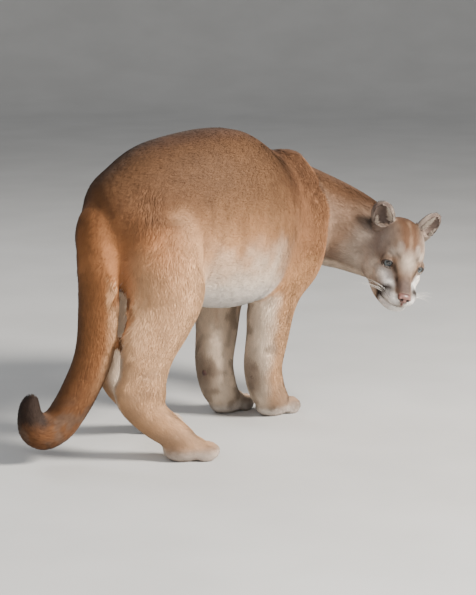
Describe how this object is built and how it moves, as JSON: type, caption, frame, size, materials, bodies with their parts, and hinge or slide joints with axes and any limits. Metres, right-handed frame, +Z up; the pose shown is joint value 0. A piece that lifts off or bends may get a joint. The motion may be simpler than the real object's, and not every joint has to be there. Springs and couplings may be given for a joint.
{
  "type": "cougar figure",
  "caption": "Life-size standing cougar with an arched back, low tail and head turned back over its right shoulder, for display on a level base.",
  "frame": {"origin": "centre of the bounding box at floor level, under the animal", "axes": "+X is the trunk's mean heading, +Y the animal's left, +Z up; the soles stand on z = 0"},
  "size_m": [1.0742, 0.4864, 0.7056],
  "materials": {
    "chest": "fur",
    "ear_left": "short hair",
    "ear_right": "short hair",
    "eye_left": "wet, smooth",
    "eye_right": "wet, smooth",
    "fore_left_foot": "fur",
    "fore_left_lower": "fur",
    "fore_left_upper": "fur",
    "fore_right_foot": "fur",
    "fore_right_lower": "fur",
    "fore_right_upper": "fur",
    "head": "short fur",
    "hind_left_foot": "fur",
    "hind_left_lower": "fur",
    "hind_left_upper": "fur",
    "hind_right_foot": "fur",
    "hind_right_lower": "fur",
    "hind_right_upper": "fur",
    "neck": "fur",
    "nose": "matt, slightly moist leather",
    "tail_base": "fur",
    "tail_middle": "fur",
    "tail_tip": "dark fur",
    "trunk": "fur"
  },
  "bodies": {
    "root": {"chest": "chest", "ear_left": "ear_left", "ear_right": "ear_right", "eye_left": "eye_left", "eye_right": "eye_right", "fore_left_foot": "fore_left_foot", "fore_left_lower": "fore_left_lower", "fore_left_upper": "fore_left_upper", "fore_right_foot": "fore_right_foot", "fore_right_lower": "fore_right_lower", "fore_right_upper": "fore_right_upper", "head": "head", "hind_left_foot": "hind_left_foot", "hind_left_lower": "hind_left_lower", "hind_left_upper": "hind_left_upper", "hind_right_foot": "hind_right_foot", "hind_right_lower": "hind_right_lower", "hind_right_upper": "hind_right_upper", "neck": "neck", "nose": "nose", "tail_base": "tail_base", "tail_middle": "tail_middle", "tail_tip": "tail_tip", "trunk": "trunk"}
  },
  "joints": []
}
